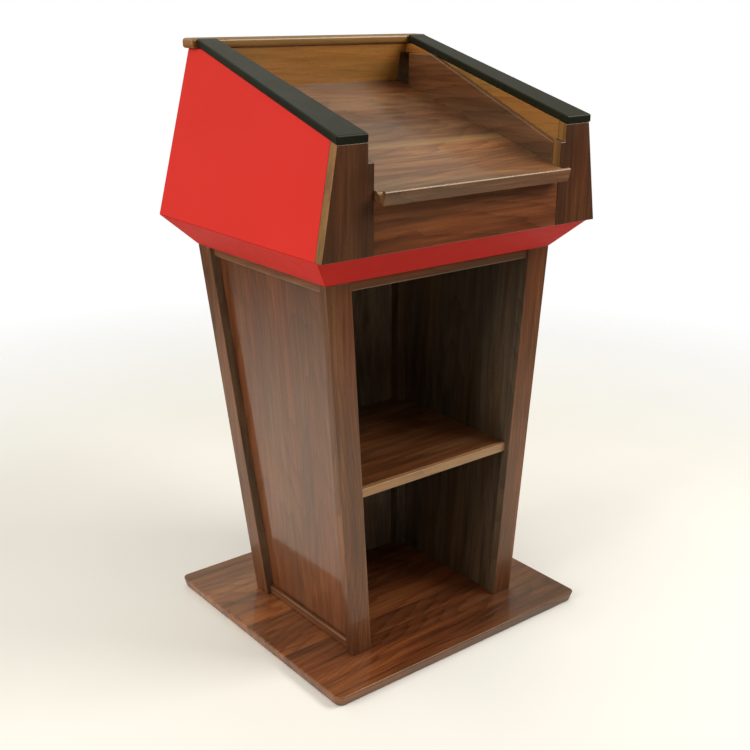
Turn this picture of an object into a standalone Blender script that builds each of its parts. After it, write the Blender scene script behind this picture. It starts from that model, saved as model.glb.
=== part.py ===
"""Presentation lectern: tapered open-front cabinet, flared collar and a slant-topped reading box.

Units are metres, +Z is up.  The origin is on the floor under the middle of the overall box.
+Y points away from the speaker, who stands on the open side at -Y, and +X is to the speaker's right.
Every wooden board is a separate solid, kept apart from its neighbours by GAP.
"""
import math

import bmesh
import bpy
from mathutils import Vector

GAP = 0.0003

# Base plate, which stands on the floor
BASE_HALF_X = 0.331
BASE_HALF_Y = 0.299
BASE_BOTTOM = 0.0
BASE_TOP = 0.0227
BASE_UNDERCUT = 0.0051
BASE_CORNER = 0.014

# Cabinet: low and high values are at its foot and at its top
CAB_LOW = BASE_TOP + GAP
CAB_HIGH = 0.797
SIDE_LOW = 0.2217
SIDE_HIGH = 0.2834
REAR_LOW = 0.152
REAR_HIGH = 0.2396
FRONT_Y = -0.200
FRONT_POST_DEPTH = 0.020
POST_INNER_LOW = 0.1735
POST_INNER_HIGH = 0.2266
REAR_POST_WIDTH = 0.071
REAR_POST_DEPTH = 0.043
PANEL_RECESS = 0.018
PANEL_THICKNESS = 0.012
STRIP_HEIGHT = 0.0187
STRIP_FACE = 0.008
INNER_PANEL_SETBACK = 0.004
BACK_RECESS = 0.009
RAIL_SETBACK = 0.004
BACK_STRIP_SETBACK = 0.001

# Shelf
SHELF_BOTTOM = 0.3605
SHELF_TOP = 0.379
SHELF_FRONT = -0.190
CLEAT = 0.015
CLEAT_FRONT = -0.165
CLEAT_REAR_GAP = 0.004

# Collar between the cabinet and the reading box
BOX_LOW = 0.856
BOX_HALF_LOW = 0.3393
BOX_SIDE_LEAN = 0.170
BOX_REAR_LOW = 0.2944
BOX_REAR_LEAN = 0.157
BOX_FRONT_Y = -0.2655
COLLAR_FRONT_Y = -0.2535
COLLAR_THICKNESS = 0.014
NECK_THICKNESS = 0.018
NECK_HALF_X = 0.262
NECK_FRONT_Y = -0.180
NECK_REAR_Y = 0.218

# Reading box walls
SKIN_THICKNESS = 0.012
WALL_TOP = 1.1807
STILE_DEPTH = 0.020
INNER_WALL_X = 0.2415
INNER_WALL_THICKNESS = 0.012
REAR_WALL_SETBACK = 0.030
LINER_THICKNESS = 0.013
LINER_REAR_Y = 0.190
LINER_FLAT_TOP = 1.162
LINER_RISE = 0.4043
LINER_FRONT_TOP = 1.0156
LINER_FOOT = 0.045
LINER_EDGE = 0.002
STILE_STEP = 1.0165
STILE_STEP_CLIMB = 0.006
CABLE_NOTCH_LOW = 1.085
APRON_SETBACK = 0.0015
FLOOR_THICKNESS = 0.012

# Sloping side caps and level rear cap
CAP_FRONT_Y = -0.267
CAP_FRONT_TOP = 1.0656
CAP_REAR_Y = 0.2074
TOP_HEIGHT = 1.200
CAP_THICKNESS = 0.0155
CAP_FRONT_X = 0.3092
CAP_REAR_X = 0.2862
REAR_CAP_HALF = 0.2955
REAR_CAP_EDGE = 0.006
REAR_CAP_FRONT_Y = CAP_REAR_Y + GAP
REAR_CAP_REAR_Y = 0.249

# Reading board, measured along and square to its slope
BOARD_HALF = 0.228
BOARD_Z = 0.974
BOARD_Y = -0.250
BOARD_RISE = 0.2723
BOARD_FRONT_Y = -0.2941
BOARD_THICKNESS = 0.016
LIP_HEIGHT = 0.009
GROOVE_CENTRE = 0.017
GROOVE_RADIUS = 0.009
GROOVE_DEPTH = 0.003
BOARD_CLEAT_START = 0.050
BOARD_CLEAT_END = 0.470

# Assembly screws through the base plate into the posts
SCREW_RADIUS = 0.003
SCREW_HOLE_RADIUS = 0.0034
SCREW_HEAD_RADIUS = 0.006
SCREW_HEAD_HEIGHT = 0.004
SCREW_RECESS_RADIUS = 0.0075
SCREW_RECESS_DEPTH = 0.006
SCREW_LENGTH = 0.045
FRONT_SCREW_X = 0.198
FRONT_SCREW_Y = -0.190
REAR_SCREW_X = 0.186
REAR_SCREW_Y = 0.131

HOLE_SEGMENTS = 20
CUT_OVERRUN = 0.01

FINE_EDGE = 0.0006
EDGE = 0.0012
SOFT_EDGE = 0.003

MATERIALS = {
    "walnut": ((0.185, 0.089, 0.045), 0.28, 0.0),
    "walnut_lipping": ((0.330, 0.190, 0.100), 0.32, 0.0),
    "inside_board": ((0.230, 0.140, 0.080), 0.60, 0.0),
    "red_panel": ((0.700, 0.030, 0.022), 0.42, 0.0),
    "black_cap": ((0.012, 0.014, 0.012), 0.36, 0.0),
    "steel": ((0.560, 0.560, 0.550), 0.35, 1.0),
}


# ---------------------------------------------------------------- helpers

def clear_scene():
    for item in list(bpy.data.objects):
        bpy.data.objects.remove(item, do_unlink=True)


def material(name):
    found = bpy.data.materials.get(name)
    if found:
        return found
    colour, roughness, metallic = MATERIALS[name]
    made = bpy.data.materials.new(name)
    made.use_nodes = True
    shader = made.node_tree.nodes["Principled BSDF"]
    shader.inputs["Base Color"].default_value = (*colour, 1.0)
    shader.inputs["Roughness"].default_value = roughness
    shader.inputs["Metallic"].default_value = metallic
    made.diffuse_color = (*colour, 1.0)
    return made


def between(z, low, high):
    """Value at height z on a line from low at the cabinet's foot to high at its top."""
    return low + (high - low) * (z - CAB_LOW) / (CAB_HIGH - CAB_LOW)


def cabinet_side(z):
    return between(z, SIDE_LOW, SIDE_HIGH)


def cabinet_rear(z):
    return between(z, REAR_LOW, REAR_HIGH)


def post_inner(z):
    return between(z, POST_INNER_LOW, POST_INNER_HIGH)


def box_side(z):
    return BOX_HALF_LOW - BOX_SIDE_LEAN * (z - BOX_LOW)


def box_rear(z):
    return BOX_REAR_LOW - BOX_REAR_LEAN * (z - BOX_LOW)


def cap_top(y):
    rise = (TOP_HEIGHT - CAP_FRONT_TOP) / (CAP_REAR_Y - CAP_FRONT_Y)
    return CAP_FRONT_TOP + rise * (y - CAP_FRONT_Y)


def cap_under(y):
    return cap_top(y) - CAP_THICKNESS


def wall_level_y():
    """Where the sloping underside of the caps comes down to the level wall top."""
    rise = (TOP_HEIGHT - CAP_FRONT_TOP) / (CAP_REAR_Y - CAP_FRONT_Y)
    return CAP_REAR_Y - (cap_under(CAP_REAR_Y) - GAP - WALL_TOP) / rise


def board_top(y):
    return BOARD_Z + BOARD_RISE * (y - BOARD_Y)


def board_point(along, above):
    """World (y, z) of a point given along the board's slope and square above it."""
    slope = math.atan(BOARD_RISE)
    y = BOARD_FRONT_Y + along * math.cos(slope) - above * math.sin(slope)
    z = board_top(BOARD_FRONT_Y) + along * math.sin(slope) + above * math.cos(slope)
    return y, z


def link(name, mesh, material_name):
    mesh.materials.append(material(material_name))
    made = bpy.data.objects.new(name, mesh)
    bpy.context.scene.collection.objects.link(made)
    return made


def round_edges(made, width, segments):
    bevel = made.modifiers.new("edges", "BEVEL")
    bevel.width = width
    bevel.segments = segments
    bevel.limit_method = "ANGLE"
    bevel.angle_limit = math.radians(25)


def loft(name, ring_a, ring_b, material_name, edge=EDGE, segments=2):
    """Closed solid between two rings that have the same number of points."""
    bm = bmesh.new()
    low = [bm.verts.new(point) for point in ring_a]
    high = [bm.verts.new(point) for point in ring_b]
    count = len(low)
    bm.faces.new(low)
    bm.faces.new(high)
    for i in range(count):
        j = (i + 1) % count
        bm.faces.new((low[i], low[j], high[j], high[i]))
    bmesh.ops.recalc_face_normals(bm, faces=bm.faces)
    mesh = bpy.data.meshes.new(name)
    bm.to_mesh(mesh)
    bm.free()
    made = link(name, mesh, material_name)
    if edge:
        round_edges(made, edge, segments)
    return made


def block(name, z_low, z_high, x_range, y_range, material_name, edge=EDGE, segments=2):
    """Board whose x and y ranges are functions of height, so its faces may lean."""
    rings = []
    for z in (z_low, z_high):
        x0, x1 = x_range(z)
        y0, y1 = y_range(z)
        rings.append([(x0, y0, z), (x1, y0, z), (x1, y1, z), (x0, y1, z)])
    return loft(name, rings[0], rings[1], material_name, edge, segments)


def side_slab(name, side, outline, x_near, x_far, material_name, edge=EDGE, segments=2):
    """Board with an outline in (y, z), between two faces whose x is a function of height."""
    near = [(side * x_near(z), y, z) for y, z in outline]
    far = [(side * x_far(z), y, z) for y, z in outline]
    return loft(name, near, far, material_name, edge, segments)


def plate(name, outline, z_low, z_high, material_name, edge=EDGE, segments=2):
    low = [(x, y, z_low) for x, y in outline]
    high = [(x, y, z_high) for x, y in outline]
    return loft(name, low, high, material_name, edge, segments)


def mirrored(side, low, high):
    return (low, high) if side > 0 else (-high, -low)


def fixed(low, high):
    return lambda z: (low, high)


def sides():
    return (("left", -1), ("right", 1))


def cutter_rod(name, radius, z_low, z_high, x, y):
    """Upright cylinder used only to cut a hole."""
    bm = bmesh.new()
    bmesh.ops.create_cone(bm, cap_ends=True, segments=HOLE_SEGMENTS, radius1=radius, radius2=radius,
                          depth=z_high - z_low)
    bmesh.ops.translate(bm, verts=bm.verts, vec=(x, y, (z_low + z_high) / 2))
    mesh = bpy.data.meshes.new(name)
    bm.to_mesh(mesh)
    bm.free()
    made = bpy.data.objects.new(name, mesh)
    bpy.context.scene.collection.objects.link(made)
    return made


def cut(target, cutter):
    cutter.hide_render = True
    cutter.display_type = "WIRE"
    boolean = target.modifiers.new("cut", "BOOLEAN")
    boolean.operation = "DIFFERENCE"
    boolean.solver = "EXACT"
    boolean.object = cutter


# ---------------------------------------------------------------- base

def screw_places():
    places = []
    for label, side in sides():
        places.append((f"front_{label}", side * FRONT_SCREW_X, FRONT_SCREW_Y))
        places.append((f"rear_{label}", side * REAR_SCREW_X, REAR_SCREW_Y))
    return places


def rounded_rectangle(half_x, half_y, radius, steps=5):
    points = []
    corners = ((1, 1, 0), (-1, 1, 90), (-1, -1, 180), (1, -1, 270))
    for sx, sy, start in corners:
        centre_x = sx * (half_x - radius)
        centre_y = sy * (half_y - radius)
        for i in range(steps + 1):
            angle = math.radians(start + 90 * i / steps)
            points.append((centre_x + radius * math.cos(angle), centre_y + radius * math.sin(angle)))
    return points


def build_base():
    top = rounded_rectangle(BASE_HALF_X, BASE_HALF_Y, BASE_CORNER)
    low = rounded_rectangle(BASE_HALF_X - BASE_UNDERCUT, BASE_HALF_Y - BASE_UNDERCUT, BASE_CORNER)
    ring_low = [(x, y, BASE_BOTTOM) for x, y in low]
    ring_high = [(x, y, BASE_TOP) for x, y in top]
    base = loft("base_board", ring_low, ring_high, "walnut", SOFT_EDGE, 3)
    for label, x, y in screw_places():
        recess_top = BASE_BOTTOM + SCREW_RECESS_DEPTH
        cut(base, cutter_rod(f"cut_recess_{label}", SCREW_RECESS_RADIUS, -CUT_OVERRUN, recess_top, x, y))
        cut(base, cutter_rod(f"cut_base_hole_{label}", SCREW_HOLE_RADIUS, -CUT_OVERRUN,
                             BASE_TOP + CUT_OVERRUN, x, y))
    return base


def build_screws(posts):
    """Screws with a round head in the base's counterbore and a shank up into each post."""
    head_top = BASE_BOTTOM + SCREW_RECESS_DEPTH - GAP
    head_low = head_top - SCREW_HEAD_HEIGHT
    tip = head_top + SCREW_LENGTH
    profile = [(0.0, head_low), (SCREW_HEAD_RADIUS, head_low), (SCREW_HEAD_RADIUS, head_top),
               (SCREW_RADIUS, head_top), (SCREW_RADIUS, tip - SCREW_RADIUS), (0.0, tip)]
    for label, x, y in screw_places():
        bm = bmesh.new()
        verts = [bm.verts.new((x + r, y, z)) for r, z in profile]
        edges = [bm.edges.new(pair) for pair in zip(verts, verts[1:])]
        bmesh.ops.spin(bm, geom=verts + edges, cent=(x, y, 0), axis=(0, 0, 1), angle=math.tau,
                       steps=16, use_merge=True, use_duplicate=False)
        bmesh.ops.remove_doubles(bm, verts=bm.verts, dist=1e-6)
        bmesh.ops.recalc_face_normals(bm, faces=bm.faces)
        mesh = bpy.data.meshes.new(f"base_screw_{label}")
        bm.to_mesh(mesh)
        bm.free()
        link(f"base_screw_{label}", mesh, "steel")
        cut(posts[label], cutter_rod(f"cut_post_hole_{label}", SCREW_HOLE_RADIUS, 0.0, tip + GAP, x, y))


# ---------------------------------------------------------------- cabinet

def build_posts():
    posts = {}
    for label, side in sides():
        posts[f"front_{label}"] = block(
            f"front_post_{label}", CAB_LOW, CAB_HIGH,
            lambda z, s=side: mirrored(s, post_inner(z), cabinet_side(z)),
            fixed(FRONT_Y, FRONT_Y + FRONT_POST_DEPTH), "walnut")
        posts[f"rear_{label}"] = block(
            f"rear_post_{label}", CAB_LOW, CAB_HIGH,
            lambda z, s=side: mirrored(s, cabinet_side(z) - REAR_POST_WIDTH, cabinet_side(z)),
            lambda z: (cabinet_rear(z) - REAR_POST_DEPTH, cabinet_rear(z)), "walnut")
    return posts


def between_posts(z):
    front = FRONT_Y + FRONT_POST_DEPTH + GAP
    return front, cabinet_rear(z) - REAR_POST_DEPTH - GAP


def build_side_walls():
    for label, side in sides():
        def outer(z, s=side):
            face = cabinet_side(z) - PANEL_RECESS
            return mirrored(s, face - PANEL_THICKNESS, face)

        def inner(z, s=side):
            face = post_inner(z) + INNER_PANEL_SETBACK
            return mirrored(s, face, face + PANEL_THICKNESS)

        def strip(z, s=side):
            panel = cabinet_side(z) - PANEL_RECESS
            return mirrored(s, panel + GAP, cabinet_side(z) - STRIP_FACE)

        block(f"side_panel_{label}", CAB_LOW, CAB_HIGH, outer, between_posts, "walnut")
        block(f"inner_side_panel_{label}", CAB_LOW, CAB_HIGH - STRIP_HEIGHT - GAP, inner,
              between_posts, "walnut")
        block(f"side_bottom_strip_{label}", CAB_LOW, CAB_LOW + STRIP_HEIGHT, strip, between_posts,
              "walnut", SOFT_EDGE, 3)
        block(f"side_top_strip_{label}", CAB_HIGH - STRIP_HEIGHT, CAB_HIGH, strip, between_posts,
              "walnut", SOFT_EDGE, 3)


def build_back():
    def width(z):
        half = cabinet_side(z) - REAR_POST_WIDTH - GAP
        return -half, half

    def panel_depth(z):
        face = cabinet_rear(z) - BACK_RECESS
        return face - PANEL_THICKNESS, face

    def strip_depth(z):
        return cabinet_rear(z) - BACK_RECESS + GAP, cabinet_rear(z) - BACK_STRIP_SETBACK

    block("back_panel", CAB_LOW, CAB_HIGH, width, panel_depth, "walnut")
    block("back_bottom_strip", CAB_LOW, CAB_LOW + STRIP_HEIGHT, width, strip_depth, "walnut",
          SOFT_EDGE, 3)
    block("back_top_strip", CAB_HIGH - STRIP_HEIGHT, CAB_HIGH, width, strip_depth, "walnut",
          SOFT_EDGE, 3)


def notched_outline(half, front, z, notch_inset=GAP):
    """Board outline that fits between the rear posts, at the height z of its lower face."""
    notch_x = cabinet_side(z) - REAR_POST_WIDTH - notch_inset
    notch_y = cabinet_rear(z) - REAR_POST_DEPTH - notch_inset
    back = cabinet_rear(z) - BACK_RECESS - PANEL_THICKNESS - notch_inset
    right = [(half, front), (half, notch_y), (notch_x, notch_y), (notch_x, back)]
    left = [(-x, y) for x, y in reversed(right)]
    return right + left


def build_cabinet_top():
    low = CAB_HIGH - STRIP_HEIGHT
    half = cabinet_side(low) - PANEL_RECESS - PANEL_THICKNESS - GAP
    front = FRONT_Y + FRONT_POST_DEPTH + GAP
    plate("cabinet_top", notched_outline(half, front, low), low, CAB_HIGH, "inside_board")
    block("front_top_rail", low, CAB_HIGH,
          lambda z: (GAP - post_inner(z), post_inner(z) - GAP),
          fixed(FRONT_Y + RAIL_SETBACK, FRONT_Y + FRONT_POST_DEPTH), "walnut", SOFT_EDGE, 3)


def build_shelf():
    seam = FRONT_Y + FRONT_POST_DEPTH + GAP
    half = post_inner(SHELF_BOTTOM) + INNER_PANEL_SETBACK - GAP
    plate("shelf", notched_outline(half, seam, SHELF_BOTTOM), SHELF_BOTTOM, SHELF_TOP, "walnut",
          FINE_EDGE, 1)
    lipping_half = post_inner(SHELF_BOTTOM) - GAP
    outline = [(-lipping_half, SHELF_FRONT), (lipping_half, SHELF_FRONT),
               (lipping_half, seam - GAP), (-lipping_half, seam - GAP)]
    plate("shelf_lipping", outline, SHELF_BOTTOM, SHELF_TOP, "walnut_lipping")
    top = SHELF_BOTTOM - GAP
    for label, side in sides():
        def width(z, s=side):
            face = post_inner(z) + INNER_PANEL_SETBACK - GAP
            return mirrored(s, face - CLEAT, face)

        block(f"shelf_cleat_{label}", top - CLEAT, top, width,
              fixed(CLEAT_FRONT, cabinet_rear(top - CLEAT) - REAR_POST_DEPTH - CLEAT_REAR_GAP), "walnut")


# ---------------------------------------------------------------- collar

def collar_ring(inset, z, front, rear, half):
    return {
        "front_left": (-(half - inset), front + inset, z),
        "front_right": (half - inset, front + inset, z),
        "rear_right": (half - inset, rear - inset, z),
        "rear_left": (-(half - inset), rear - inset, z),
    }


def build_collar():
    """Four mitred boards that flare out from the cabinet's top to the box's foot."""
    low_z = CAB_HIGH + GAP
    high_z = BOX_LOW - GAP
    low_args = (low_z, FRONT_Y, REAR_HIGH, SIDE_HIGH)
    high_args = (high_z, COLLAR_FRONT_Y, BOX_REAR_LOW, BOX_HALF_LOW)
    rings = {
        "low_out": collar_ring(0.0, *low_args),
        "low_in": collar_ring(COLLAR_THICKNESS, *low_args),
        "high_out": collar_ring(0.0, *high_args),
        "high_in": collar_ring(COLLAR_THICKNESS, *high_args),
    }
    spans = {
        "front": ("front_left", "front_right", (1, 0)),
        "right": ("front_right", "rear_right", (0, 1)),
        "rear": ("rear_right", "rear_left", (-1, 0)),
        "left": ("rear_left", "front_left", (0, -1)),
    }
    for label, (start, end, along) in spans.items():
        def corner(ring, name, sign):
            shift = Vector((along[0], along[1], 0)) * GAP * sign
            return tuple(Vector(rings[ring][name]) + shift)

        order = ("low_out", "low_in", "high_in", "high_out")
        loft(f"collar_{label}", [corner(ring, start, 1) for ring in order],
             [corner(ring, end, -1) for ring in order], "red_panel", FINE_EDGE, 2)


def build_neck():
    """Upright rails hidden in the collar, which carry the reading box."""
    low = CAB_HIGH + GAP
    high = BOX_LOW - GAP
    full = fixed(-NECK_HALF_X, NECK_HALF_X)
    block("neck_rail_front", low, high, full, fixed(NECK_FRONT_Y, NECK_FRONT_Y + NECK_THICKNESS),
          "inside_board")
    block("neck_rail_rear", low, high, full, fixed(NECK_REAR_Y - NECK_THICKNESS, NECK_REAR_Y),
          "inside_board")
    ends = fixed(NECK_FRONT_Y + NECK_THICKNESS + GAP, NECK_REAR_Y - NECK_THICKNESS - GAP)
    for label, side in sides():
        width = mirrored(side, NECK_HALF_X - NECK_THICKNESS, NECK_HALF_X)
        block(f"neck_rail_{label}", low, high, fixed(*width), ends, "inside_board")


# ---------------------------------------------------------------- reading box

def wall_front_y():
    return BOX_FRONT_Y + STILE_DEPTH + GAP


def build_box_floor():
    high = BOX_LOW + FLOOR_THICKNESS
    half = box_side(high) - SKIN_THICKNESS - GAP
    rear = box_rear(high) - SKIN_THICKNESS - GAP
    front = wall_front_y()
    outline = [(-half, front), (half, front), (half, rear), (-half, rear)]
    plate("box_floor", outline, BOX_LOW, high, "inside_board")


def build_red_panels():
    front = wall_front_y()
    outline = [(front, BOX_LOW), (box_rear(BOX_LOW), BOX_LOW), (box_rear(WALL_TOP), WALL_TOP),
               (wall_level_y(), WALL_TOP), (front, cap_under(front) - GAP)]
    for label, side in sides():
        side_slab(f"red_side_panel_{label}", side, outline,
                  lambda z: box_side(z) - SKIN_THICKNESS, box_side, "red_panel")

    def width(z):
        half = box_side(z) - SKIN_THICKNESS - GAP
        return -half, half

    block("red_rear_panel", BOX_LOW, WALL_TOP, width,
          lambda z: (box_rear(z) - SKIN_THICKNESS, box_rear(z)), "red_panel")


def inner_rear_y(z):
    return box_rear(z) - REAR_WALL_SETBACK


def build_inner_walls():
    """Upright side walls and leaning rear wall, notched at the rear corners for cables."""
    low = BOX_LOW + FLOOR_THICKNESS + GAP
    front = wall_front_y()
    corner_y = inner_rear_y(WALL_TOP) - GAP
    outline = [(front, low), (inner_rear_y(low) - GAP, low),
               (inner_rear_y(CABLE_NOTCH_LOW) - GAP, CABLE_NOTCH_LOW),
               (LINER_REAR_Y, CABLE_NOTCH_LOW), (LINER_REAR_Y, LINER_FLAT_TOP),
               (inner_rear_y(LINER_FLAT_TOP) - GAP, LINER_FLAT_TOP), (corner_y, WALL_TOP),
               (wall_level_y(), WALL_TOP), (front, cap_under(front) - GAP)]
    for label, side in sides():
        side_slab(f"inner_side_wall_{label}", side, outline, lambda z: INNER_WALL_X,
                  lambda z: INNER_WALL_X + INNER_WALL_THICKNESS, "walnut", FINE_EDGE, 1)

    wide = INNER_WALL_X + INNER_WALL_THICKNESS
    narrow = BOARD_HALF
    right = [(wide, low), (wide, CABLE_NOTCH_LOW), (narrow, CABLE_NOTCH_LOW),
             (narrow, LINER_FLAT_TOP), (wide, LINER_FLAT_TOP), (wide, WALL_TOP)]
    points = right + [(-x, z) for x, z in reversed(right)]
    near = [(x, inner_rear_y(z), z) for x, z in points]
    far = [(x, inner_rear_y(z) + INNER_WALL_THICKNESS, z) for x, z in points]
    loft("inner_rear_wall", near, far, "walnut", FINE_EDGE, 1)


def liner_top(y):
    return LINER_FRONT_TOP + LINER_RISE * (y - wall_front_y())


def build_liners():
    """Lower boards on the side walls: their tops climb more steeply than the caps."""
    front = wall_front_y()
    level_y = front + (LINER_FLAT_TOP - LINER_FRONT_TOP) / LINER_RISE
    outline = [(front, board_top(front) - LINER_FOOT),
               (LINER_REAR_Y, board_top(LINER_REAR_Y) - LINER_FOOT),
               (LINER_REAR_Y, LINER_FLAT_TOP), (level_y, LINER_FLAT_TOP), (front, liner_top(front))]
    inner = INNER_WALL_X - LINER_THICKNESS
    for label, side in sides():
        side_slab(f"liner_{label}", side, outline, lambda z: inner,
                  lambda z: INNER_WALL_X - GAP, "walnut", LINER_EDGE, 2)


def build_front_frame():
    """Two stiles, stepped where they cover the liners' ends, and the apron between them."""
    step_x = INNER_WALL_X - LINER_THICKNESS
    for label, side in sides():
        rings = []
        for y in (BOX_FRONT_Y, BOX_FRONT_Y + STILE_DEPTH):
            top = cap_under(y) - GAP
            step = STILE_STEP + STILE_STEP_CLIMB * (y - BOX_FRONT_Y) / STILE_DEPTH
            points = [(step_x, BOX_LOW), (box_side(BOX_LOW), BOX_LOW), (box_side(top), top),
                      (INNER_WALL_X, top), (INNER_WALL_X, step), (step_x, step)]
            rings.append([(side * x, y, z) for x, z in points])
        loft(f"front_stile_{label}", rings[0], rings[1], "walnut")

    rings = []
    half = step_x - GAP
    for y in (BOX_FRONT_Y + APRON_SETBACK, BOX_FRONT_Y + STILE_DEPTH):
        top = board_top(y) - BOARD_THICKNESS * math.hypot(1.0, BOARD_RISE) - GAP
        rings.append([(-half, y, BOX_LOW), (half, y, BOX_LOW), (half, y, top), (-half, y, top)])
    loft("apron", rings[0], rings[1], "walnut")


def board_outline():
    """Reading board section: rounded lip, pencil groove, flat, and an end that meets the rear wall."""
    lip = LIP_HEIGHT / 2
    points = [(0.0, -BOARD_THICKNESS)]
    for i in range(9):
        angle = math.radians(180 - 180 * i / 8)
        points.append((lip + lip * math.cos(angle), lip + lip * math.sin(angle)))
    groove_n = GROOVE_RADIUS - GROOVE_DEPTH
    start = math.acos((GROOVE_CENTRE - LIP_HEIGHT) / GROOVE_RADIUS)
    end = math.asin(groove_n / GROOVE_RADIUS)
    for i in range(1, 9):
        angle = math.pi + start + (math.pi - start - end) * i / 8
        points.append((GROOVE_CENTRE + GROOVE_RADIUS * math.cos(angle),
                       groove_n + GROOVE_RADIUS * math.sin(angle)))
    outline = [board_point(s, n) for s, n in points]
    outline[1 + 8] = board_point(LIP_HEIGHT, groove_n - GROOVE_RADIUS * math.sin(start))
    for drop in (0.0, BOARD_THICKNESS * math.hypot(1.0, BOARD_RISE)):
        y = (inner_rear_y(board_top(0.0) - drop) - GAP) / (1 + BOX_REAR_LEAN * BOARD_RISE)
        outline.append((y, board_top(y) - drop))
    return outline


def build_reading_board():
    outline = board_outline()
    left = [(-BOARD_HALF, y, z) for y, z in outline]
    right = [(BOARD_HALF, y, z) for y, z in outline]
    loft("reading_board", left, right, "walnut", 0.0)
    high = -BOARD_THICKNESS - GAP
    square = [board_point(BOARD_CLEAT_START, high), board_point(BOARD_CLEAT_END, high),
              board_point(BOARD_CLEAT_END, high - CLEAT), board_point(BOARD_CLEAT_START, high - CLEAT)]
    face = INNER_WALL_X - LINER_THICKNESS - GAP
    for label, side in sides():
        side_slab(f"board_cleat_{label}", side, square, lambda z: face - CLEAT, lambda z: face,
                  "inside_board")


def build_caps():
    for label, side in sides():
        plan = [(INNER_WALL_X, CAP_FRONT_Y), (CAP_FRONT_X, CAP_FRONT_Y), (CAP_REAR_X, CAP_REAR_Y),
                (INNER_WALL_X, CAP_REAR_Y)]
        low = [(side * x, y, cap_under(y)) for x, y in plan]
        high = [(side * x, y, cap_top(y)) for x, y in plan]
        loft(f"side_cap_{label}", low, high, "black_cap", SOFT_EDGE, 4)
    outline = [(-REAR_CAP_HALF, REAR_CAP_FRONT_Y), (REAR_CAP_HALF, REAR_CAP_FRONT_Y),
               (REAR_CAP_HALF, REAR_CAP_REAR_Y), (-REAR_CAP_HALF, REAR_CAP_REAR_Y)]
    plate("rear_cap", outline, WALL_TOP + GAP, TOP_HEIGHT, "walnut", REAR_CAP_EDGE, 4)


def main():
    clear_scene()
    build_base()
    build_screws(build_posts())
    build_side_walls()
    build_back()
    build_cabinet_top()
    build_shelf()
    build_collar()
    build_neck()
    build_box_floor()
    build_red_panels()
    build_inner_walls()
    build_liners()
    build_front_frame()
    build_reading_board()
    build_caps()


main()
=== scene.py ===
"""Looks of the presentation lectern: walnut, red lacquer, black caps, soft studio light and the camera.

Units are metres and +Z is up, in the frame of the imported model.  The speaker stands at -Y.
"""

import math

import bpy
from mathutils import Matrix, Vector

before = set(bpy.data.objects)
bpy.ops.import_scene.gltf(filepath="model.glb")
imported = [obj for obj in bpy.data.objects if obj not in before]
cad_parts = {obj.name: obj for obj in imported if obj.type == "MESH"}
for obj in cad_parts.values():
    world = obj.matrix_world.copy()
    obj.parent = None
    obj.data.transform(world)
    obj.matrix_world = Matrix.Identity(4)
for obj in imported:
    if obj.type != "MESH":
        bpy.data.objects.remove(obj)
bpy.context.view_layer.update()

# Camera, in the model's frame: angles in radians, lens and sensor in millimetres
CAMERA_PLACE = Vector((-1.3912, -1.7175, 1.2828))
CAMERA_YAW = 0.6773
CAMERA_PITCH = -0.3322
CAMERA_ROLL = 0.0091
CAMERA_LENS = 53.03
SENSOR = 36.0

# Shading of the bevelled edges.  The weight is the highest, so that broad faces keep their own normals
WELD_DISTANCE = 1e-5
SMOOTH_ANGLE = math.radians(50)
BROAD_FACE_WEIGHT = 100

# Noise stays mostly between these two values
NOISE_LOW = 0.3
NOISE_HIGH = 0.7

# Walnut tones, linear colours from dark latewood to pale earlywood
TONES = {
    "brown": ((0.040, 0.011, 0.004), (0.112, 0.037, 0.015), (0.215, 0.090, 0.036)),
    "reddish": ((0.045, 0.012, 0.004), (0.130, 0.040, 0.014), (0.225, 0.080, 0.028)),
    "russet": ((0.048, 0.010, 0.003), (0.134, 0.034, 0.011), (0.256, 0.084, 0.028)),
    "golden": ((0.105, 0.040, 0.009), (0.215, 0.088, 0.018), (0.310, 0.150, 0.036)),
    "board": ((0.050, 0.014, 0.005), (0.145, 0.052, 0.019), (0.290, 0.130, 0.050)),
    # Painted light: the tray's rear wall gets this tone, paler than the golden of its side walls, which
    # paints the front light falling on it
    "painted_front_lit": ((0.200, 0.074, 0.014), (0.400, 0.165, 0.036), (0.530, 0.250, 0.064)),
    # Painted light: faces inside the cabinet get this greyer tone, which paints the dim, washed-out look
    # of its shaded interior
    "painted_interior_light": ((0.048, 0.030, 0.018), (0.118, 0.081, 0.053), (0.200, 0.141, 0.093)),
    # Painted light: the back panel's inside face gets this pale grey tone, which paints light on the dim
    # rear of the cabinet's interior
    "painted_back_light": ((0.074, 0.052, 0.034), (0.182, 0.132, 0.093), (0.310, 0.229, 0.165)),
    "base": ((0.050, 0.012, 0.004), (0.136, 0.040, 0.014), (0.270, 0.100, 0.033)),
    "liner": ((0.038, 0.013, 0.006), (0.086, 0.033, 0.014), (0.150, 0.066, 0.031)),
    "lipping": ((0.150, 0.070, 0.026), (0.290, 0.150, 0.060), (0.400, 0.235, 0.105)),
    "sheet": ((0.080, 0.042, 0.020), (0.150, 0.085, 0.045), (0.220, 0.135, 0.078)),
}

# Where the three colours of a tone lie on the level, which runs from 0 to 1
TONE_PLACES = (0.05, 0.50, 0.95)

# Other walnut colours: the log's cool and warm parts and the pores multiply the tone
SAPWOOD = (0.330, 0.190, 0.070)
COOL_PART = (0.88, 0.97, 1.05)
WARM_PART = (1.14, 0.98, 0.84)
PORE_TINT = (0.42, 0.36, 0.33)

# Growth rings: lengths in metres, the wobble in rings, and how slowly a ring darkens towards its end.
# The heart's offset to the side is a sine of the seed, and only a share of the thickness counts as depth
RING_SPACING = 0.0085
RING_SWAY = 0.030
RING_WOBBLE = 1.9
LATEWOOD_RISE = 2.6
HEART_OFFSET = 0.06
OFFSET_TURN = 5.1
THICKNESS_SHARE = 0.35

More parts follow.
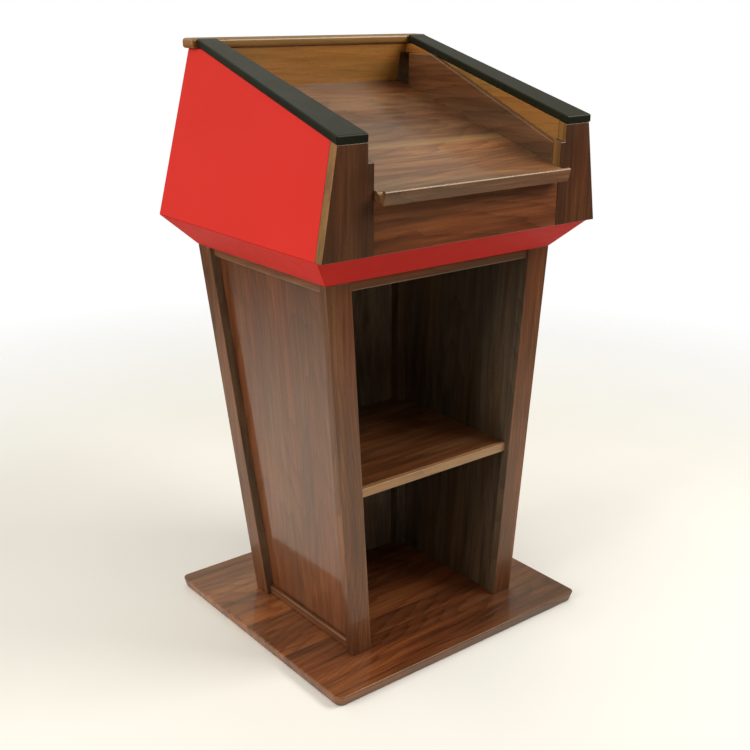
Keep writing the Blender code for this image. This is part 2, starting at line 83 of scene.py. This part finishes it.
# The level of plain wood, and how far each part of the figure moves it
PLAIN_LEVEL = 0.58
RING_DEPTH = 0.24
FIBRE_DEPTH = 0.17
STREAK_DEPTH = 0.22
CLOUD_DEPTH = 0.20

# Pores: noise cells per metre, how much noise starts and fills one, and their strength by place in a ring
PORES_ACROSS = 1500.0
PORES_ALONG = 100.0
PORE_EDGES = (0.60, 0.70)
EARLY_PORES = 0.75
LATE_PORES = 0.25

# Lacquered surface of walnut: how far its roughness strays from the gloss, and its sheen and relief
GLOSS_BELOW = 0.03
GLOSS_ABOVE = 0.05
PORE_ROUGHNESS = 0.10
LACQUER_IOR = 1.5
WOOD_SPECULAR = 0.7
WOOD_SHEEN = (1.0, 0.78, 0.45)
FIBRE_RELIEF = 0.25

# How far the pattern moves in the log, for each unit of seed and at most for a glued strip
SEED_STEP = (1.37, 2.11, 0.73)
STRIP_REACH = (0.10, 3.0, 0.10)

# Glued strips: brightness, and places across a strip as shares of its width
STRIP_SHADES = (0.74, 1.20)
GLUE_EDGES = (0.494, 0.499)
GLUE_SHADE = 0.72
SAPWOOD_EDGES = (0.03, 0.13)
SAPWOOD_WANDER = 0.05

# How squarely a face must look along X, or towards the middle, to get its other colour: a paler tone on
# side faces, painted interior light on walnut, bare board inside the red panels
ALONG_X_EDGES = (0.6, 0.8)
INNER_LIGHT_EDGES = (0.05, 0.15)
BARE_EDGES = (0.20, 0.30)

# Lacquers, bare board and screws
RED = (0.655, 0.034, 0.026)
RED_SHADE = 0.95
RED_SPECULAR = 0.05
BARE_DARK = (0.360, 0.230, 0.140)
BARE_PALE = (0.460, 0.310, 0.195)
BLACK = (0.009, 0.010, 0.006)
RUBBED_SHADE = 1.7
BLACK_SHEEN = (1.0, 0.98, 0.78)
BLACK_SPECULAR = 0.15
STEEL = (0.56, 0.56, 0.55)
STEEL_SHADE = 0.75

# Studio
FLOOR_FADE = 1.15
FLOOR_EDGE = 2.6
FLOOR_TONES = ((0.82, 0.81, 0.79), (0.86, 0.85, 0.83))
FLOOR_ROUGHNESS = 0.75
FLOOR_SECTORS = 64
FLOOR_RINGS = 8
GLOW_DIRECTION = (-0.25, 0.35, 0.90)
GLOW_START = 0.10
GLOW_FULL = 0.80
GLOW_LOW = 0.05
GLOW_HIGH = 0.94
GLOW_COLOUR = (1.0, 0.98, 0.86)
LIGHT_COLOUR = (1.0, 0.97, 0.91)
LIGHTS = {
    "key_left": dict(place=(-4.35, 0.15, 2.5), aim=(0.0, 0.0, 0.7), size=3.0, power=125.0),
    "front_high": dict(place=(1.5, -1.4, 2.35), aim=(0.0, 0.0, 1.0), size=1.4, power=55.0),
}


# ---------------------------------------------------------------- node helpers

class Tree:
    """Short hand for building one material's nodes."""

    def __init__(self, name):
        self.material = bpy.data.materials.new(name)
        self.material.use_nodes = True
        self.tree = self.material.node_tree
        self.shader = self.tree.nodes["Principled BSDF"]

    def node(self, kind, **settings):
        made = self.tree.nodes.new(kind)
        for key, value in settings.items():
            setattr(made, key, value)
        return made

    def join(self, source, target):
        self.tree.links.new(source, target)

    def coordinates(self, lean=0.0):
        """Place on the object, turned about Y by lean."""
        source = self.node("ShaderNodeTexCoord").outputs["Object"]
        return self.mapped(source, rotation=(0.0, lean, 0.0))

    def mapped(self, source, rotation=(0, 0, 0), place=(0, 0, 0), scale=(1, 1, 1)):
        mapping = self.node("ShaderNodeMapping")
        mapping.inputs["Rotation"].default_value = rotation
        mapping.inputs["Location"].default_value = place
        mapping.inputs["Scale"].default_value = scale
        self.join(source, mapping.inputs["Vector"])
        return mapping.outputs["Vector"]

    def split(self, vector):
        """The X, Y and Z of a vector, by name."""
        made = self.node("ShaderNodeSeparateXYZ")
        self.join(vector, made.inputs["Vector"])
        return made.outputs

    def vector_maths(self, operation, a, b=None):
        """Outputs of a node that works on one or two vectors.  b is an output too, or a constant."""
        made = self.node("ShaderNodeVectorMath", operation=operation)
        self.join(a, made.inputs[0])
        if isinstance(b, tuple):
            made.inputs[1].default_value = b
        elif b is not None:
            self.join(b, made.inputs[1])
        return made.outputs

    def noise(self, vector, scale, detail=3.0, roughness=0.5, distortion=0.0):
        made = self.node("ShaderNodeTexNoise")
        made.inputs["Scale"].default_value = scale
        made.inputs["Detail"].default_value = detail
        made.inputs["Roughness"].default_value = roughness
        made.inputs["Distortion"].default_value = distortion
        self.join(vector, made.inputs["Vector"])
        return made.outputs["Fac"]

    def grain(self, vector, across, along, place=(0, 0, 0), detail=3.0, roughness=0.5, distortion=0.0):
        """Noise drawn out along Y, with across and along as its cells per metre."""
        drawn_out = self.mapped(vector, place=place, scale=(across, along, across))
        return self.noise(drawn_out, 1.0, detail, roughness, distortion)

    def maths(self, operation, a, b=0.0, clamp=False):
        made = self.node("ShaderNodeMath", operation=operation, use_clamp=clamp)
        for socket, value in zip(made.inputs, (a, b)):
            if isinstance(value, (int, float)):
                socket.default_value = value
            else:
                self.join(value, socket)
        return made.outputs["Value"]

    def ranged(self, value, from_low, from_high, to_low, to_high):
        made = self.node("ShaderNodeMapRange")
        for socket, number in zip(("From Min", "From Max", "To Min", "To Max"),
                                  (from_low, from_high, to_low, to_high)):
            made.inputs[socket].default_value = number
        self.join(value, made.inputs["Value"])
        return made.outputs["Result"]

    def spread(self, noise, low, high):
        """Noise's own range stretched onto low to high."""
        return self.ranged(noise, NOISE_LOW, NOISE_HIGH, low, high)

    def ramp(self, value, stops):
        made = self.node("ShaderNodeValToRGB")
        elements = made.color_ramp.elements
        while len(elements) < len(stops):
            elements.new(0.5)
        for element, (place, colour) in zip(elements, stops):
            element.position = place
            element.color = (*colour, 1.0)
        self.join(value, made.inputs["Fac"])
        return made.outputs["Color"]

    def blended(self, noise, first, second, start=NOISE_LOW, end=NOISE_HIGH):
        """The first colour where noise is below start, the second above end, and a blend between them."""
        return self.ramp(noise, ((start, first), (end, second)))

    def mixed(self, mode, factor, a, b):
        made = self.node("ShaderNodeMix", data_type="RGBA", blend_type=mode)
        for name, value in (("Factor", factor), ("A", a), ("B", b)):
            socket = next(s for s in made.inputs if s.name == name and s.enabled)
            if isinstance(value, (int, float)):
                socket.default_value = value
            elif isinstance(value, tuple):
                socket.default_value = (*value, 1.0)
            else:
                self.join(value, socket)
        return next(s for s in made.outputs if s.enabled)

    def bump(self, height, strength, distance):
        made = self.node("ShaderNodeBump")
        made.inputs["Strength"].default_value = strength
        made.inputs["Distance"].default_value = distance
        self.join(height, made.inputs["Height"])
        self.join(made.outputs["Normal"], self.shader.inputs["Normal"])


def scaled(values, factor):
    """Each value times the factor."""
    return tuple(value * factor for value in values)


# ---------------------------------------------------------------- materials

# Rotations that turn a board's grain direction onto the local Y axis
ALONG = {
    "x": (0.0, 0.0, math.radians(90)),
    "y": (0.0, 0.0, 0.0),
    "z": (math.radians(-90), 0.0, 0.0),
}


def walnut(name, grain="z", seed=0.0, tone="brown", shade=1.0, heart=0.09, figure=1.0, contrast=1.0,
           gloss=0.42, polish=0.08, coat=0.45, lean=0.0, tilt=0.045, plank=0.0, joint=0.0, sapwood=0.0,
           side_face_tone=None, inner_light_tone=None):
    """Lacquered walnut, cut from a log at a place that the seed chooses.

    grain is the board's long direction, and lean turns it in the XZ plane.  heart is how far beside
    the board the log's middle lies, tilt is its slope against the grain, which draws the rings out into
    arches, and figure is how much the rings sway.  shade and contrast act on the tone, gloss is the
    wood's own roughness, and coat and polish are the weight and roughness of the lacquer.  plank is the
    width of the glued strips that the board is made from, or 0 for one leaf.  Their joints are counted
    from joint, on the board or beyond its edge, and sapwood is how strongly a pale line shows along that
    one.  side_face_tone colours faces that look along X.  inner_light_tone colours those that look
    inwards, with a tone that paints the dim, washed-out light of the shaded interior.
    """
    t = Tree(name)
    local = t.mapped(t.coordinates(lean), rotation=ALONG[grain])
    if plank:
        strip = strip_place(t, local, plank, joint)
        local = strip_shift(t, local, strip)
    placed = t.mapped(local, place=scaled(SEED_STEP, seed))
    phase, latewood = growth_rings(t, local, placed, seed, heart, tilt, figure)
    fibre, streak, level = wood_level(t, placed, latewood, contrast)

    colour = toned(t, level, tone, shade)
    # Faces that look along X get a paler tone of their own
    if side_face_tone:
        colour = t.mixed("MIX", faces_along_x(t), colour, toned(t, level, side_face_tone))
    # Faces that look inwards get a tone that paints the light of the shaded interior
    if inner_light_tone:
        inwards = faces_inwards(t, *INNER_LIGHT_EDGES)
        colour = t.mixed("MIX", inwards, colour, toned(t, level, inner_light_tone))

    # Parts of the log are redder, others more chocolate
    warmth = t.grain(placed, across=16.0, along=1.6, place=(3.0, 5.0, 7.0), detail=2.0)
    tint = t.blended(warmth, COOL_PART, WARM_PART, start=0.35, end=0.65)
    colour = t.mixed("MULTIPLY", 1.0, colour, tint)

    pores = pore_dashes(t, placed, phase)
    colour = t.mixed("MULTIPLY", pores, colour, PORE_TINT)
    if plank:
        colour = strip_colour(t, colour, strip, streak, sapwood)
    t.join(colour, t.shader.inputs["Base Color"])
    lacquer_surface(t, placed, fibre, pores, gloss, polish, coat)
    return t.material


def growth_rings(t, local, placed, seed, heart, tilt, figure):
    """Place within a ring and how dark the wood is there, for rings round a tilted heart."""
    sway = t.spread(t.grain(placed, across=5.0, along=1.1, detail=2.0, roughness=0.45),
                    -RING_SWAY * figure, RING_SWAY * figure)
    place = t.split(local)
    offset = math.sin(seed * OFFSET_TURN) * HEART_OFFSET
    across = t.maths("ADD", t.maths("ADD", place["X"], sway), offset)
    depth = t.maths("ADD", t.maths("MULTIPLY", place["Y"], tilt), heart)
    depth = t.maths("ADD", depth, t.maths("MULTIPLY", place["Z"], THICKNESS_SHARE))
    radius = t.maths("SQRT", t.maths("ADD", t.maths("POWER", across, 2.0), t.maths("POWER", depth, 2.0)))
    wobble = t.maths("MULTIPLY", t.grain(placed, across=28.0, along=2.6), RING_WOBBLE)
    rings = t.maths("ADD", t.maths("DIVIDE", radius, RING_SPACING), wobble)
    phase = t.maths("FRACT", rings)
    return phase, t.maths("POWER", phase, LATEWOOD_RISE)


def wood_level(t, placed, latewood, contrast):
    """Fibres and streaks, and the level of tone that they, the latewood and broad clouds give together."""
    fibre = t.grain(placed, across=280.0, along=9.0, detail=4.0, roughness=0.62)
    streak = t.grain(placed, across=55.0, along=2.4, roughness=0.55, distortion=0.35)
    cloud = t.grain(placed, across=12.0, along=2.2, distortion=0.5)
    level = t.maths("ADD", t.maths("MULTIPLY", latewood, -RING_DEPTH * contrast), PLAIN_LEVEL)
    level = t.maths("ADD", level, t.spread(fibre, -FIBRE_DEPTH, FIBRE_DEPTH))
    level = t.maths("ADD", level, t.spread(streak, -STREAK_DEPTH * contrast, STREAK_DEPTH * contrast))
    clouding = t.spread(cloud, -CLOUD_DEPTH * contrast, CLOUD_DEPTH * contrast)
    return fibre, streak, t.maths("ADD", level, clouding, clamp=True)


def pore_dashes(t, placed, phase):
    """Short dark dashes, denser in the earlywood."""
    dash = t.grain(placed, across=PORES_ACROSS, along=PORES_ALONG, detail=1.0, roughness=0.4)
    strength = t.ranged(phase, 0.0, 1.0, EARLY_PORES, LATE_PORES)
    return t.maths("MULTIPLY", t.ranged(dash, *PORE_EDGES, 0.0, 1.0), strength)


def lacquer_surface(t, placed, fibre, pores, gloss, polish, coat):
    """Satin wood under a clear coat, with open pores and raised fibres."""
    rough = t.spread(t.noise(placed, scale=9.0), gloss - GLOSS_BELOW, gloss + GLOSS_ABOVE)
    rough = t.maths("ADD", rough, t.maths("MULTIPLY", pores, PORE_ROUGHNESS))
    t.join(rough, t.shader.inputs["Roughness"])
    t.shader.inputs["IOR"].default_value = LACQUER_IOR
    t.shader.inputs["Specular IOR Level"].default_value = WOOD_SPECULAR
    t.shader.inputs["Specular Tint"].default_value = (*WOOD_SHEEN, 1.0)
    t.shader.inputs["Coat Weight"].default_value = coat
    t.shader.inputs["Coat Roughness"].default_value = polish
    t.shader.inputs["Coat IOR"].default_value = LACQUER_IOR
    height = t.maths("SUBTRACT", t.maths("MULTIPLY", fibre, FIBRE_RELIEF), pores)
    t.bump(height, strength=0.10, distance=0.0004)


def toned(t, level, tone, shade=1.0):
    """Colour between a tone's dark, middle and pale stops."""
    colours = (scaled(colour, shade) for colour in TONES[tone])
    return t.ramp(level, tuple(zip(TONE_PLACES, colours)))


def faces_along_x(t):
    """1 on faces that look to the left or right, and 0 on the others."""
    normal = t.node("ShaderNodeNewGeometry").outputs["True Normal"]
    sideways = t.maths("ABSOLUTE", t.split(normal)["X"])
    return t.ranged(sideways, *ALONG_X_EDGES, 0.0, 1.0)


def faces_inwards(t, low, high):
    """1 on faces whose normal points towards the lectern's upright middle line, and 0 on the others."""
    spot = t.node("ShaderNodeTexCoord").outputs["Object"]
    level = t.vector_maths("MULTIPLY", spot, (1.0, 1.0, 0.0))["Vector"]
    outward = t.vector_maths("NORMALIZE", level)["Vector"]
    normal = t.node("ShaderNodeNewGeometry").outputs["True Normal"]
    facing = t.vector_maths("DOT_PRODUCT", normal, outward)["Value"]
    return t.ranged(facing, -high, -low, 1.0, 0.0)


def strip_place(t, local, plank, joint):
    """Place across the glued strips, counted in strips from the named joint."""
    return t.maths("DIVIDE", t.maths("SUBTRACT", t.split(local)["X"], joint), plank)


def strip_random(t, strip):
    """Outputs of a random source with one draw for each strip."""
    random = t.node("ShaderNodeTexWhiteNoise", noise_dimensions="1D")
    t.join(t.maths("FLOOR", strip), random.inputs["W"])
    return random.outputs


def strip_shift(t, local, strip):
    """Moves each strip's pattern to another part of the log."""
    shift = t.vector_maths("MULTIPLY", strip_random(t, strip)["Color"], STRIP_REACH)["Vector"]
    return t.vector_maths("ADD", local, shift)["Vector"]


def strip_colour(t, colour, strip, streak, sapwood):
    """Gives each strip its own brightness, a thin dark glue line, and sapwood along the named joint."""
    shade = t.ranged(strip_random(t, strip)["Value"], 0.0, 1.0, *STRIP_SHADES)
    if sapwood:
        wander = t.spread(streak, -SAPWOOD_WANDER, SAPWOOD_WANDER)
        away = t.maths("ADD", t.maths("ABSOLUTE", strip), wander)
        colour = t.mixed("MIX", t.ranged(away, *SAPWOOD_EDGES, sapwood, 0.0), colour, SAPWOOD)
    off_middle = t.maths("ABSOLUTE", t.maths("SUBTRACT", t.maths("FRACT", strip), 0.5))
    glue = t.ranged(off_middle, *GLUE_EDGES, 1.0, GLUE_SHADE)
    value = t.maths("MULTIPLY", shade, glue)
    grey = t.node("ShaderNodeCombineColor")
    for channel in ("Red", "Green", "Blue"):
        t.join(value, grey.inputs[channel])
    return t.mixed("MULTIPLY", 1.0, colour, grey.outputs["Color"])


def red_lacquer():
    """Sprayed satin lacquer with slight orange peel outside, and bare board on faces looking inwards."""
    t = Tree("red_lacquer")
    spot = t.coordinates()
    painted = t.blended(t.noise(spot, scale=3.5), scaled(RED, RED_SHADE), RED)
    flecks = t.noise(spot, scale=90.0, roughness=0.6)
    bare = t.blended(flecks, BARE_DARK, BARE_PALE, start=0.35, end=0.65)
    colour = t.mixed("MIX", faces_inwards(t, *BARE_EDGES), painted, bare)
    t.join(colour, t.shader.inputs["Base Color"])
    satin = t.spread(t.noise(spot, scale=38.0, roughness=0.6), low=0.46, high=0.54)
    t.join(satin, t.shader.inputs["Roughness"])
    t.shader.inputs["Specular IOR Level"].default_value = RED_SPECULAR
    t.bump(t.noise(spot, scale=950.0, detail=2.0), strength=0.12, distance=0.0003)
    return t.material


def black_lacquer():
    """Black satin lacquer on close-grained wood: its pores show through, and patches are rubbed paler."""
    t = Tree("black_lacquer")
    spot = t.coordinates()
    pores = t.grain(spot, across=420.0, along=14.0, roughness=0.6)
    rubbed = t.noise(spot, scale=16.0, detail=4.0, roughness=0.6)
    colour = t.blended(rubbed, BLACK, scaled(BLACK, RUBBED_SHADE), end=0.75)
    t.join(colour, t.shader.inputs["Base Color"])
    t.join(t.spread(rubbed, low=0.30, high=0.42), t.shader.inputs["Roughness"])
    t.shader.inputs["Specular IOR Level"].default_value = BLACK_SPECULAR
    t.shader.inputs["Specular Tint"].default_value = (*BLACK_SHEEN, 1.0)
    t.bump(pores, strength=0.16, distance=0.0004)
    return t.material


def zinc_steel():
    """Plated screws, slightly mottled."""
    t = Tree("zinc_steel")
    spot = t.coordinates()
    mottle = t.noise(spot, scale=260.0, roughness=0.6)
    colour = t.blended(mottle, scaled(STEEL, STEEL_SHADE), STEEL)
    t.join(colour, t.shader.inputs["Base Color"])
    wear = t.spread(t.noise(spot, scale=500.0, detail=2.0), low=0.28, high=0.45)
    t.join(wear, t.shader.inputs["Roughness"])
    t.shader.inputs["Metallic"].default_value = 1.0
    return t.material


# ---------------------------------------------------------------- finish of each node

# The cabinet's sides lean outwards by the spread over the rise, so their grain leans with them
CABINET_SPREAD = 0.0617
CABINET_RISE = 0.774
CABINET_LEAN = math.atan(CABINET_SPREAD / CABINET_RISE)

FINISHES = {
    "base_board": dict(grain="x", seed=1.3, tone="base", shade=1.14, plank=0.095, joint=0.495,
                       figure=1.8, contrast=1.15, heart=0.07, tilt=0.12, coat=0.34),
    "reading_board": dict(grain="x", seed=4.2, tone="board", shade=1.16, plank=0.130, joint=0.100,
                          sapwood=0.60, figure=1.7, contrast=1.15, heart=0.05, tilt=0.08,
                          polish=0.12, coat=0.36),
    "shelf": dict(grain="x", seed=7.9, tone="board", shade=0.86, coat=0.75),
    "shelf_lipping": dict(grain="x", seed=2.4, tone="lipping", heart=0.30),
    "apron": dict(grain="x", seed=9.6, tone="russet", shade=1.08, figure=1.4, heart=0.05),
    # The posts' faces that look inwards get the painted light of the shaded interior
    "front_post_left": dict(grain="z", seed=7.3, tone="russet", shade=0.90, figure=1.6, contrast=1.1,
                            heart=0.10, coat=0.40, lean=CABINET_LEAN, inner_light_tone="painted_interior_light"),
    "front_post_right": dict(grain="z", seed=7.9, tone="russet", shade=0.82, figure=1.6, contrast=1.1,
                             heart=0.10, coat=0.26, lean=-CABINET_LEAN, inner_light_tone="painted_interior_light"),
    "front_top_rail": dict(grain="x", seed=3.1, tone="reddish", heart=0.20),
    "rear_cap": dict(grain="x", seed=5.7, tone="golden", heart=0.30, contrast=0.6),
    # The rear wall of the tray is painted paler than its side walls: painted light from the front
    "inner_rear_wall": dict(grain="x", seed=6.4, tone="painted_front_lit", heart=0.25, figure=0.4, contrast=0.6,
                            polish=0.15, coat=0.90),
    # The back panel's inside face is given a paler tone: painted light on the dim rear of the interior
    "back_panel": dict(grain="z", seed=8.2, figure=1.5, heart=0.06, inner_light_tone="painted_back_light"),
    "back_top_strip": dict(grain="x", seed=1.9, heart=0.20),
    "back_bottom_strip": dict(grain="x", seed=2.9, heart=0.20),
}

# Left-hand boards of pairs.  The right-hand ones lean the other way and have a seed of their own
PAIRED_FINISHES = {
    "side_panel": dict(grain="z", seed=3.6, tone="russet", shade=0.82, figure=0.9, contrast=0.75,
                       heart=0.09, coat=1.0, lean=CABINET_LEAN),
    # The inner side panels are given the painted light of the shaded interior
    "inner_side_panel": dict(grain="z", seed=5.2, tone="painted_interior_light", heart=0.10, lean=CABINET_LEAN),
    "side_top_strip": dict(grain="y", seed=6.1, tone="reddish", heart=0.20),
    "side_bottom_strip": dict(grain="y", seed=6.8, tone="reddish", heart=0.20),
    # The rear posts' faces that look inwards get the painted light of the shaded interior
    "rear_post": dict(grain="z", seed=8.8, tone="reddish", heart=0.16, lean=CABINET_LEAN,
                      inner_light_tone="painted_interior_light"),
    # The stiles' faces that look along X get a paler golden tone than their fronts
    "front_stile": dict(grain="z", seed=2.2, tone="russet", shade=0.52, heart=0.12, figure=0.6,
                        side_face_tone="golden"),
    "inner_side_wall": dict(grain="y", seed=4.9, tone="golden", shade=1.3, heart=0.20, figure=0.4,
                            contrast=0.6),
    "liner": dict(grain="y", seed=9.1, tone="liner", shade=1.2, heart=0.14, figure=0.6, contrast=1.2),
}
RIGHT_SEED_STEP = 0.57

for stem, left in PAIRED_FINISHES.items():
    FINISHES[f"{stem}_left"] = left
    right = dict(left, seed=left["seed"] + RIGHT_SEED_STEP, lean=-left.get("lean", 0.0))
    FINISHES[f"{stem}_right"] = right


def shared_materials():
    """Materials that several nodes share, by the start of a node's name.  Plain sheet is for the rest."""
    red = red_lacquer()
    black = black_lacquer()
    steel = zinc_steel()
    sheet = walnut("wood_sheet", grain="y", seed=0.4, tone="sheet", gloss=0.55)
    return {"red_": red, "collar_": red, "side_cap": black, "base_screw": steel, "": sheet}


def finish_of(node, shared):
    """Material for a CAD node: its own walnut, or the first shared one that its name fits."""
    if node in FINISHES:
        return walnut(f"wood_{node}", **FINISHES[node])
    return next(material for start, material in shared.items() if node.startswith(start))


def smooth_edges(obj, group):
    """Rounds the shading of the bevels and keeps the broad faces flat, without moving a point."""
    smoothing = obj.modifiers.new("smooth", "NODES")
    smoothing.node_group = group
    weighted = obj.modifiers.new("weighted", "WEIGHTED_NORMAL")
    weighted.weight = BROAD_FACE_WEIGHT
    weighted.keep_sharp = True


def smoothing_group():
    """Drops the imported normals, welds the faces' shared points and marks the steep edges as sharp."""
    group = bpy.data.node_groups.new("smooth_edges", "GeometryNodeTree")
    group.interface.new_socket("Geometry", in_out="INPUT", socket_type="NodeSocketGeometry")
    group.interface.new_socket("Geometry", in_out="OUTPUT", socket_type="NodeSocketGeometry")
    start = group.nodes.new("NodeGroupInput")
    end = group.nodes.new("NodeGroupOutput")
    remove = group.nodes.new("GeometryNodeRemoveAttribute")
    remove.inputs["Name"].default_value = "custom_normal"
    weld = group.nodes.new("GeometryNodeMergeByDistance")
    weld.inputs["Distance"].default_value = WELD_DISTANCE
    faces = group.nodes.new("GeometryNodeSetShadeSmooth")
    faces.domain = "FACE"
    edges = group.nodes.new("GeometryNodeSetShadeSmooth")
    edges.domain = "EDGE"
    edges.inputs["Shade Smooth"].default_value = False
    angle = group.nodes.new("GeometryNodeInputMeshEdgeAngle")
    sharp = group.nodes.new("FunctionNodeCompare")
    sharp.data_type = "FLOAT"
    sharp.operation = "GREATER_THAN"
    sharp.inputs["B"].default_value = SMOOTH_ANGLE
    links = group.links
    for before, after in ((start, remove), (remove, weld), (weld, faces), (faces, edges), (edges, end)):
        links.new(before.outputs["Geometry"], after.inputs["Geometry"])
    links.new(angle.outputs["Unsigned Angle"], sharp.inputs["A"])
    links.new(sharp.outputs["Result"], edges.inputs["Selection"])
    return group


# ---------------------------------------------------------------- studio

def floor_mesh():
    """A disc of sectors and rings, with a fan of triangles at its middle."""
    verts = [(0.0, 0.0, 0.0)]
    for ring in range(1, FLOOR_RINGS + 1):
        reach = FLOOR_EDGE * ring / FLOOR_RINGS
        for sector in range(FLOOR_SECTORS):
            turn = math.tau * sector / FLOOR_SECTORS
            verts.append((reach * math.cos(turn), reach * math.sin(turn), 0.0))
    faces = [(0, 1 + i, 1 + (i + 1) % FLOOR_SECTORS) for i in range(FLOOR_SECTORS)]
    for ring in range(FLOOR_RINGS - 1):
        low = 1 + ring * FLOOR_SECTORS
        high = low + FLOOR_SECTORS
        for i in range(FLOOR_SECTORS):
            j = (i + 1) % FLOOR_SECTORS
            faces.append((low + i, high + i, high + j, low + j))
    mesh = bpy.data.meshes.new("floor")
    mesh.from_pydata(verts, [], faces)
    return mesh


def build_floor():
    """A round pale floor that fades into the white backdrop towards its edge."""
    floor = bpy.data.objects.new("floor", floor_mesh())
    bpy.context.scene.collection.objects.link(floor)
    t = Tree("floor_paint")
    spot = t.coordinates()
    colour = t.blended(t.noise(spot, scale=1.5, detail=2.0), *FLOOR_TONES)
    t.join(colour, t.shader.inputs["Base Color"])
    t.shader.inputs["Roughness"].default_value = FLOOR_ROUGHNESS
    away = t.vector_maths("LENGTH", spot)["Value"]
    t.join(t.ranged(away, FLOOR_FADE, FLOOR_EDGE, 1.0, 0.0), t.shader.inputs["Alpha"])
    floor.data.materials.append(t.material)


def build_world():
    """White backdrop for the camera, and a soft glow for the rest.

    The glow is strongest from above, a little towards the back left, and weakest from in front and below.
    """
    world = bpy.data.worlds.new("studio")
    world.use_nodes = True
    nodes, links = world.node_tree.nodes, world.node_tree.links
    backdrop = nodes["Background"]
    backdrop.inputs["Color"].default_value = (1.0, 1.0, 1.0, 1.0)
    direction = nodes.new("ShaderNodeTexCoord").outputs["Generated"]
    facing = nodes.new("ShaderNodeVectorMath")
    facing.operation = "DOT_PRODUCT"
    facing.inputs[1].default_value = Vector(GLOW_DIRECTION).normalized()
    links.new(direction, facing.inputs[0])
    strength = nodes.new("ShaderNodeMapRange")
    strength.interpolation_type = "SMOOTHSTEP"
    for name, value in (("From Min", GLOW_START), ("From Max", GLOW_FULL),
                        ("To Min", GLOW_LOW), ("To Max", GLOW_HIGH)):
        strength.inputs[name].default_value = value
    links.new(facing.outputs["Value"], strength.inputs["Value"])
    glow = nodes.new("ShaderNodeBackground")
    glow.inputs["Color"].default_value = (*GLOW_COLOUR, 1.0)
    links.new(strength.outputs["Result"], glow.inputs["Strength"])
    seen = nodes.new("ShaderNodeLightPath").outputs["Is Camera Ray"]
    mix = nodes.new("ShaderNodeMixShader")
    links.new(seen, mix.inputs["Fac"])
    links.new(glow.outputs["Background"], mix.inputs[1])
    links.new(backdrop.outputs["Background"], mix.inputs[2])
    links.new(mix.outputs["Shader"], nodes["World Output"].inputs["Surface"])
    bpy.context.scene.world = world


def area_light(name, place, aim, size, power):
    """A square light that looks from its place at its aim."""
    data = bpy.data.lights.new(name, "AREA")
    data.shape = "SQUARE"
    data.size = size
    data.energy = power
    data.color = LIGHT_COLOUR
    light = bpy.data.objects.new(name, data)
    light.location = place
    light.rotation_euler = (Vector(aim) - Vector(place)).to_track_quat("-Z", "Y").to_euler()
    bpy.context.scene.collection.objects.link(light)


def build_camera():
    """Camera from its place and angles: yaw turns from +Y towards +X, and roll is about the view axis."""
    ahead = Vector((math.sin(CAMERA_YAW) * math.cos(CAMERA_PITCH),
                    math.cos(CAMERA_YAW) * math.cos(CAMERA_PITCH), math.sin(CAMERA_PITCH)))
    right = ahead.cross(Vector((0, 0, 1))).normalized()
    up = right.cross(ahead)
    turned_right = math.cos(CAMERA_ROLL) * right + math.sin(CAMERA_ROLL) * up
    turned_up = -math.sin(CAMERA_ROLL) * right + math.cos(CAMERA_ROLL) * up
    rotation = Matrix((turned_right, turned_up, -ahead)).transposed().to_4x4()
    data = bpy.data.cameras.new("camera")
    data.lens = CAMERA_LENS
    data.sensor_width = SENSOR
    camera = bpy.data.objects.new("camera", data)
    camera.matrix_world = Matrix.Translation(CAMERA_PLACE) @ rotation
    bpy.context.scene.collection.objects.link(camera)
    bpy.context.scene.camera = camera


# ---------------------------------------------------------------- the scene

build_camera()
build_floor()
build_world()
for name, settings in LIGHTS.items():
    area_light(name, **settings)

shared_finishes = shared_materials()
edge_group = smoothing_group()
for node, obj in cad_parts.items():
    finish = finish_of(node, shared_finishes)
    for slot in obj.material_slots:
        slot.material = finish
    smooth_edges(obj, edge_group)

bpy.context.scene.view_settings.view_transform = "Standard"
